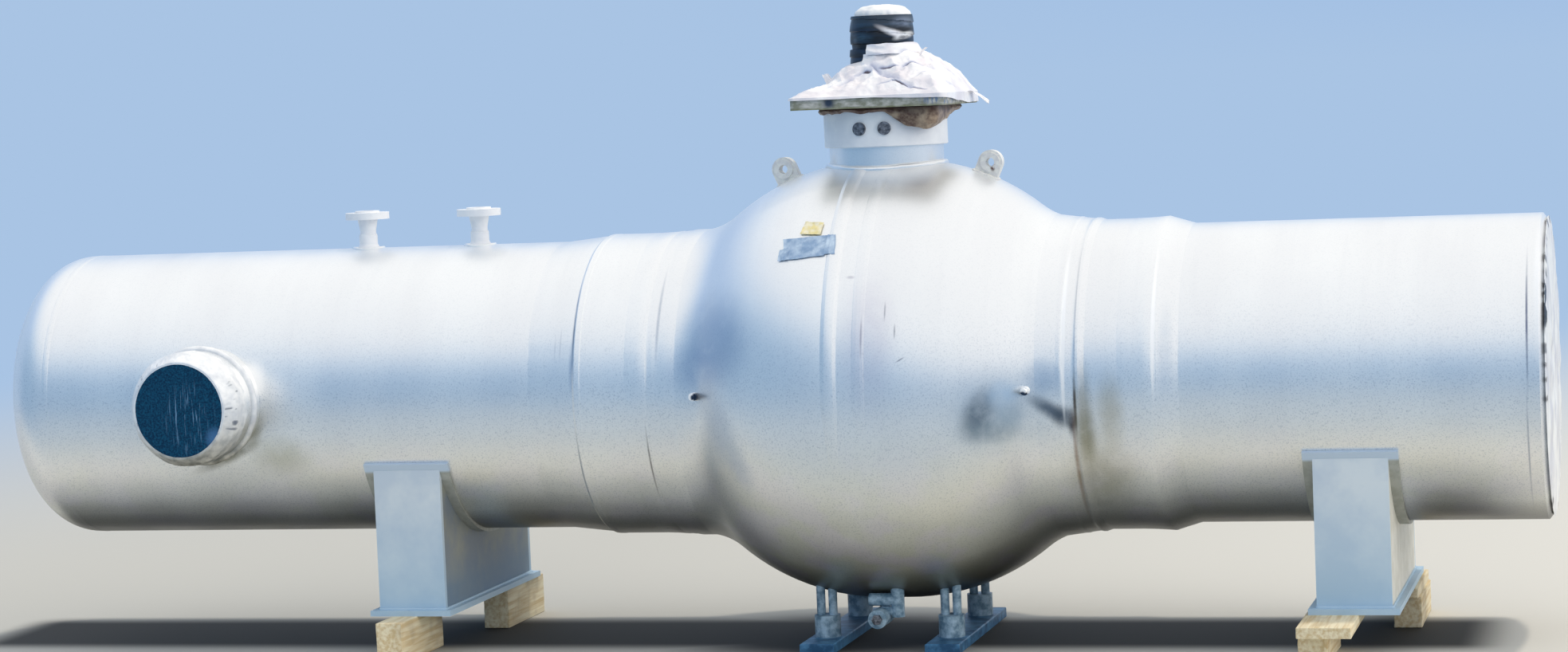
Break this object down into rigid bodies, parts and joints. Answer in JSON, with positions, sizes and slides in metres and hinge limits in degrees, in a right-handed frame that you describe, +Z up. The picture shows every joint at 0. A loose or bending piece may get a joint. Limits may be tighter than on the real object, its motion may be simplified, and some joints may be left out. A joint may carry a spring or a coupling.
{
  "type": "pipeline pig launcher",
  "caption": "Launch barrel with a dished head, kicker and vent nozzles, welded through a spherical ball valve to a line barrel, on saddles and valve feet.",
  "frame": {"origin": "on the floor, under the middle of the overall length, in line with the pipe axis", "axes": "+X along the pipe from the dished head to the line end, +Z up, -Y towards the side with the kicker nozzle"},
  "size_m": [5.8126, 1.5939, 2.307],
  "materials": {
    "aluminium_paint": "satin aluminium paint",
    "white_paint": "matt white paint",
    "saddle_paint": "satin grey paint",
    "foot_paint": "worn grey paint",
    "plug_steel": "dull steel",
    "blue_sheet": "matt blue board",
    "dark_tape": "wrapped dark tape",
    "white_cap": "soft white plastic",
    "wrap_film": "crumpled stretch film",
    "cover_film": "ragged white film over board",
    "sawn_timber": "rough sawn"
  },
  "bodies": {
    "root": {"barrel_head": "aluminium_paint", "launch_barrel": "aluminium_paint", "left_pup": "aluminium_paint", "left_body_closure": "aluminium_paint", "body_band": "aluminium_paint", "right_body_closure": "aluminium_paint", "right_pup": "aluminium_paint", "line_barrel": "aluminium_paint", "kicker_nozzle": "aluminium_paint", "body_neck": "aluminium_paint", "left_lifting_lug": "aluminium_paint", "right_lifting_lug": "aluminium_paint", "vent_branch_1": "white_paint", "vent_branch_2": "white_paint", "vent_flange_1": "white_paint", "vent_flange_2": "white_paint", "bonnet": "white_paint", "actuator_flange": "white_paint", "left_saddle_wear_plate": "saddle_paint", "left_saddle_end_plates": "saddle_paint", "left_saddle_webs": "saddle_paint", "left_saddle_base_plate": "saddle_paint", "right_saddle_wear_plate": "saddle_paint", "right_saddle_end_plates": "saddle_paint", "right_saddle_webs": "saddle_paint", "right_saddle_base_plate": "saddle_paint", "left_foot_bar": "foot_paint", "right_foot_bar": "foot_paint", "left_legs": "foot_paint", "right_legs": "foot_paint", "drain_valve": "foot_paint", "bonnet_plugs": "plug_steel", "drain_plug": "plug_steel", "left_grease_fitting": "plug_steel", "right_grease_fitting": "plug_steel", "kicker_cover": "blue_sheet", "stem_housing": "dark_tape", "stem_cap": "white_cap", "film_wrap": "wrap_film", "film_bag": "wrap_film", "line_end_cover": "cover_film", "left_timbers": "sawn_timber", "right_timbers": "sawn_timber", "right_boards": "sawn_timber"}
  },
  "joints": []
}
